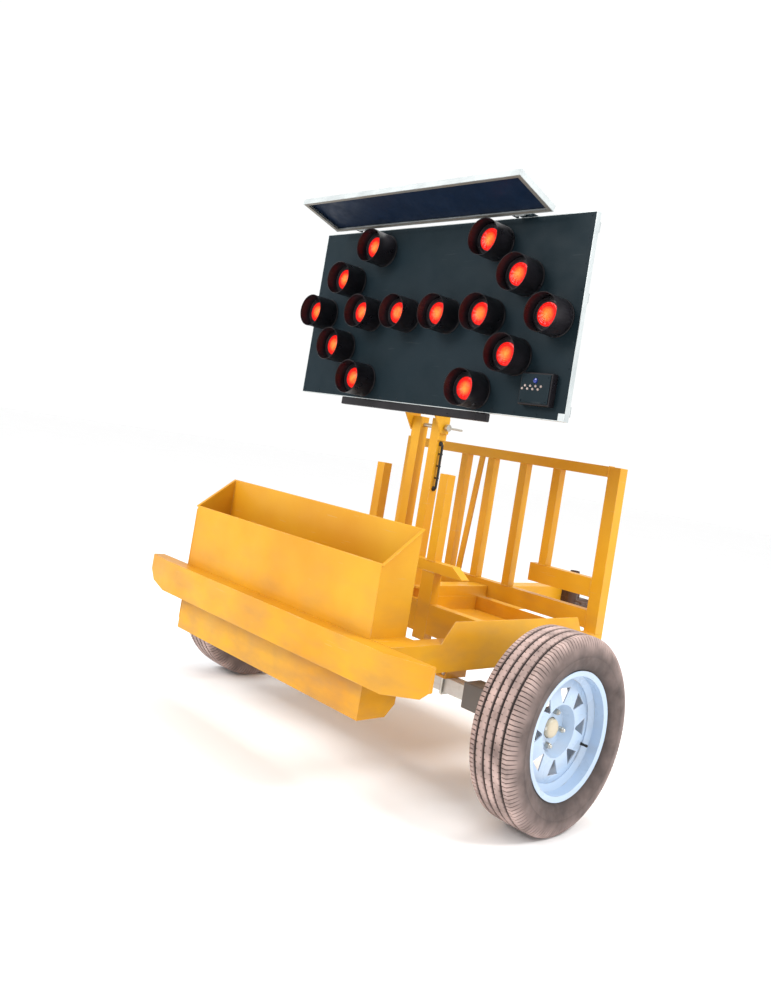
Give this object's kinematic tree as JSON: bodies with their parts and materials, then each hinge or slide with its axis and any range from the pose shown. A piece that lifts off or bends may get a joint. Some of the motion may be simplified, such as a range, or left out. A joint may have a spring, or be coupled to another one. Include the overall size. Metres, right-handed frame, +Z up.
{
  "type": "arrow board trailer",
  "caption": "Road works trailer with a folding lamp board shaped as an arrow, a solar panel, a tool bin and a board rack.",
  "frame": {"origin": "centre of the bounding box on the ground plane under the trailer", "axes": "+Z up, +Y towards the towing coupling, +X to the right when looking along +Y"},
  "size_m": [1.744, 1.9, 1.9708],
  "materials": {
    "body_paint": "satin",
    "galvanised": "satin",
    "dark_steel": "satin",
    "zinc_steel": "satin",
    "tyre_rubber": "matte",
    "rim_paint": "gloss",
    "cap_paint": "satin",
    "panel_black": "satin",
    "trim_alloy": "satin",
    "lamp_black": "matte",
    "lens_red": "gloss",
    "pilot_blue": "gloss",
    "solar_face": "gloss",
    "battery_case": "matte",
    "cable_sheath": "matte"
  },
  "bodies": {
    "chassis": {"rear_beam": "body_paint", "bin": "body_paint", "side_member_right": "body_paint", "side_member_left": "body_paint", "deck_plate": "body_paint", "axle_cross_member": "body_paint", "cross_tubes": "body_paint", "trays": "body_paint", "drawbar": "body_paint", "portal_frame": "body_paint", "sign_sockets": "body_paint", "mast": "body_paint", "rack_posts": "body_paint", "rack_rails": "body_paint", "rack_bars": "body_paint", "rack_stub_rail": "body_paint", "axle_tube": "galvanised", "axle_blocks": "dark_steel", "spindles": "galvanised", "axle_saddles": "body_paint", "frame_bolts": "zinc_steel", "pivot_bolt": "zinc_steel", "battery_box": "body_paint", "battery": "battery_case", "coupling_head": "dark_steel", "prop_sleeve": "dark_steel", "mast_cable": "cable_sheath"},
    "wheel_right": {"tyre_right": "tyre_rubber", "rim_right": "rim_paint", "hub_right": "dark_steel", "bearings_right": "zinc_steel", "wheel_nuts_right": "zinc_steel", "hub_cap_right": "cap_paint"},
    "wheel_left": {"tyre_left": "tyre_rubber", "rim_left": "rim_paint", "hub_left": "dark_steel", "bearings_left": "zinc_steel", "wheel_nuts_left": "zinc_steel", "hub_cap_left": "cap_paint"},
    "board": {"board_panel": "panel_black", "board_trim": "trim_alloy", "board_corner_guard": "trim_alloy", "board_back_frame": "panel_black", "lower_bar": "lamp_black", "board_brackets": "body_paint", "board_rests": "lamp_black", "lamp_hoods": "lamp_black", "lamp_bodies": "lamp_black", "lamp_lenses": "lens_red", "control_box": "lamp_black", "pilot_lamp": "pilot_blue", "solar_straps": "panel_black", "solar_pins": "zinc_steel"},
    "solar": {"solar_frame": "trim_alloy", "solar_panel": "solar_face"},
    "lever": {"clamp_lever": "zinc_steel"},
    "lid": {"battery_lid": "body_paint"},
    "handle": {"coupling_handle": "dark_steel"},
    "prop": {"prop_leg": "zinc_steel"},
    "screw": {"prop_clamp_screw": "dark_steel"}
  },
  "joints": [
    {"name": "wheel_right_spin", "type": "hinge", "parent": "chassis", "child": "wheel_right", "pos_m": [0.7845, -0.378, 0.3005], "axis": [1, 0, 0], "continuous": true},
    {"name": "wheel_left_spin", "type": "hinge", "parent": "chassis", "child": "wheel_left", "pos_m": [-0.7845, -0.378, 0.3005], "axis": [1, 0, 0], "continuous": true},
    {"name": "board_fold", "type": "hinge", "parent": "chassis", "child": "board", "pos_m": [0, -0.298, 1.16], "axis": [-1, 0, 0], "range_deg": [0, 90]},
    {"name": "solar_tilt", "type": "hinge", "parent": "board", "child": "solar", "pos_m": [0, -0.45, 1.9], "axis": [-1, 0, 0], "range_deg": [-15, 45]},
    {"name": "clamp_lever_turn", "type": "hinge", "parent": "chassis", "child": "lever", "pos_m": [0.0925, -0.298, 1.16], "axis": [1, 0, 0], "range_deg": [0, 90]},
    {"name": "lid_open", "type": "hinge", "parent": "chassis", "child": "lid", "pos_m": [-0.31, -0.072, 0.623], "axis": [-1, 0, 0], "range_deg": [0, 100]},
    {"name": "handle_lift", "type": "hinge", "parent": "chassis", "child": "handle", "pos_m": [0, 0.847, 0.518], "axis": [-1, 0, 0], "range_deg": [0, 70]},
    {"name": "prop_slide", "type": "slide", "parent": "chassis", "child": "prop", "axis": [0, 0, 1], "range_m": [0, 0.25]},
    {"name": "prop_screw_turn", "type": "hinge", "parent": "chassis", "child": "screw", "pos_m": [0.15, 0.707, 0.51], "axis": [1, 0, 0], "range_deg": [0, 180]}
  ]
}
